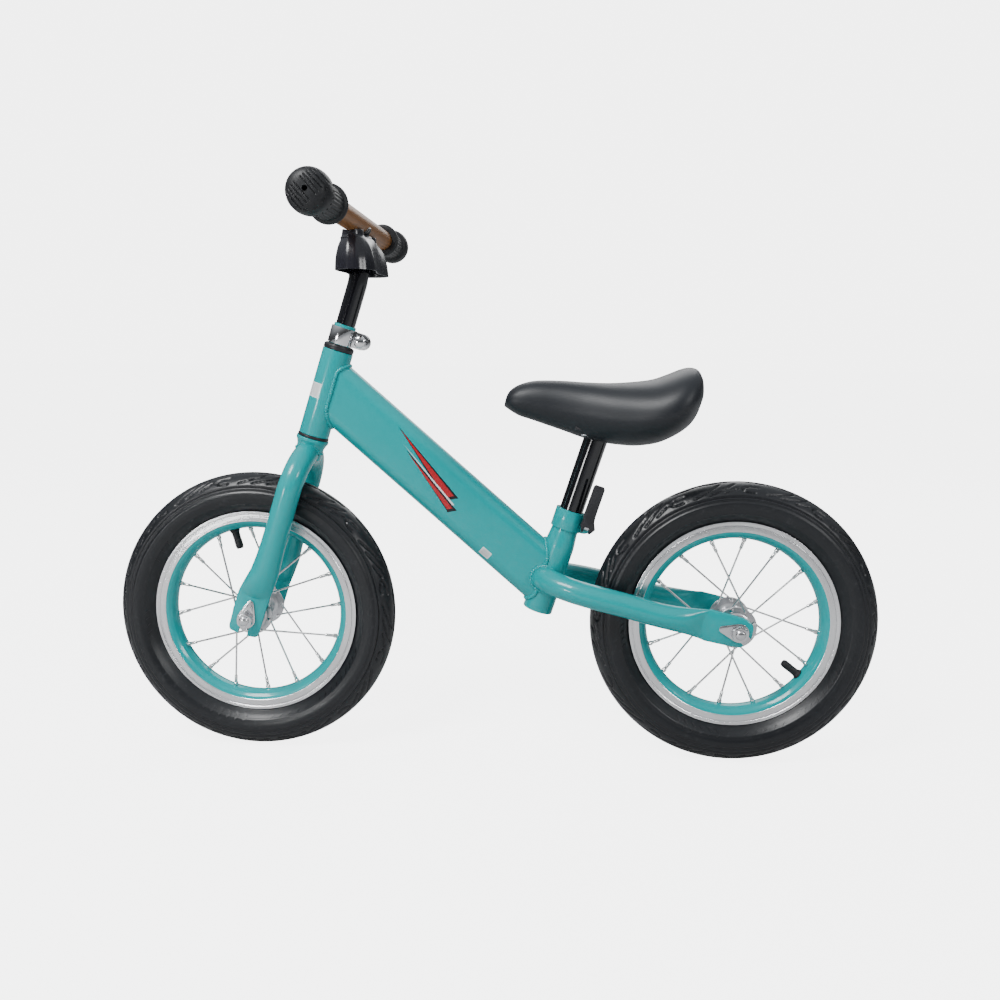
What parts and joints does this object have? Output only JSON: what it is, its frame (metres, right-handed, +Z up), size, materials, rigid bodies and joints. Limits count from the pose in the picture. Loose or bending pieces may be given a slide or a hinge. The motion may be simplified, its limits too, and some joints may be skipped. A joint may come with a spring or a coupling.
{
  "type": "balance bike",
  "caption": "Child's pedal-free balance bike with a slanted flat-oval frame tube, spoked air-tyre wheels, free steering, and a saddle and handlebar that adjust for height.",
  "frame": {"origin": "on the ground, midway between the two axles", "axes": "+X to the rear of the bike, +Y to the rider's right, +Z up"},
  "size_m": [0.809, 0.424, 0.5761],
  "materials": {
    "teal_paint": "gloss enamel",
    "black_gloss": "gloss enamel",
    "chrome": "polished",
    "zinc": "bright zinc plate",
    "rim_aluminium": "machined, clear coated",
    "tyre_rubber": "moulded, satin",
    "tube_rubber": "moulded",
    "grip_rubber": "moulded, matte",
    "bronze_paint": "satin",
    "saddle_skin": "smooth synthetic skin over foam",
    "black_plastic": "moulded"
  },
  "bodies": {
    "frame": {"head_tube": "teal_paint", "down_tube": "teal_paint", "seat_tube": "teal_paint", "chainstay_left": "teal_paint", "chainstay_right": "teal_paint", "upper_headset_cup": "black_plastic", "lower_headset_cup": "black_plastic", "seat_clamp_collar": "teal_paint", "seat_clamp_skewer": "zinc", "seat_clamp_nut": "black_plastic", "lever_cam_seat": "black_plastic", "lever_pin": "zinc", "rear_axle": "zinc", "rear_cone_left": "zinc", "rear_cone_right": "zinc", "rear_tab_washer_left": "zinc", "rear_tab_washer_right": "zinc", "rear_axle_nut_left": "zinc", "rear_axle_nut_right": "zinc"},
    "qr_lever": {"quick_release_lever": "black_plastic"},
    "fork": {"fork_leg_left": "teal_paint", "fork_leg_right": "teal_paint", "steerer_tube": "teal_paint", "stem_clamp": "chrome", "stem_clamp_bolt": "chrome", "stem_clamp_nut": "chrome", "front_axle": "zinc", "front_cone_left": "zinc", "front_cone_right": "zinc", "front_tab_washer_left": "zinc", "front_tab_washer_right": "zinc", "front_axle_nut_left": "zinc", "front_axle_nut_right": "zinc"},
    "handlebar": {"stem_tube": "black_gloss", "handlebar_tube": "bronze_paint", "grip_left": "grip_rubber", "grip_right": "grip_rubber", "stem_cover": "black_gloss"},
    "front_wheel": {"front_tyre": "tyre_rubber", "front_inner_tube": "tube_rubber", "front_rim": "rim_aluminium", "front_hub": "zinc"},
    "rear_wheel": {"rear_tyre": "tyre_rubber", "rear_inner_tube": "tube_rubber", "rear_rim": "rim_aluminium", "rear_hub": "zinc"},
    "seat": {"seat_post": "black_gloss", "seat_post_plate": "black_gloss", "saddle_screw_1": "zinc", "saddle_screw_2": "zinc", "saddle_screw_3": "zinc", "saddle_screw_4": "zinc", "saddle_pan": "black_plastic", "saddle": "saddle_skin"}
  },
  "joints": [
    {"name": "steering", "type": "hinge", "parent": "frame", "child": "fork", "pos_m": [-0.1906, 0, 0.34106], "axis": [0.294, 0, 0.9558], "continuous": true},
    {"name": "handlebar_height", "type": "slide", "parent": "fork", "child": "handlebar", "axis": [0.294, 0, 0.9558], "range_m": [-0.03, 0.04]},
    {"name": "front_wheel_spin", "type": "hinge", "parent": "fork", "child": "front_wheel", "pos_m": [-0.2545, 0, 0.15], "axis": [0, 1, 0], "continuous": true},
    {"name": "rear_wheel_spin", "type": "hinge", "parent": "frame", "child": "rear_wheel", "pos_m": [0.2545, 0, 0.15], "axis": [0, 1, 0], "continuous": true},
    {"name": "saddle_height", "type": "slide", "parent": "frame", "child": "seat", "axis": [0.3007, 0, 0.9537], "range_m": [-0.036, 0.035]},
    {"name": "quick_release", "type": "hinge", "parent": "frame", "child": "qr_lever", "pos_m": [0.09996, -0.0157, 0.24999], "axis": [0.9537, 0, -0.3007], "range_deg": [0, 150]}
  ]
}
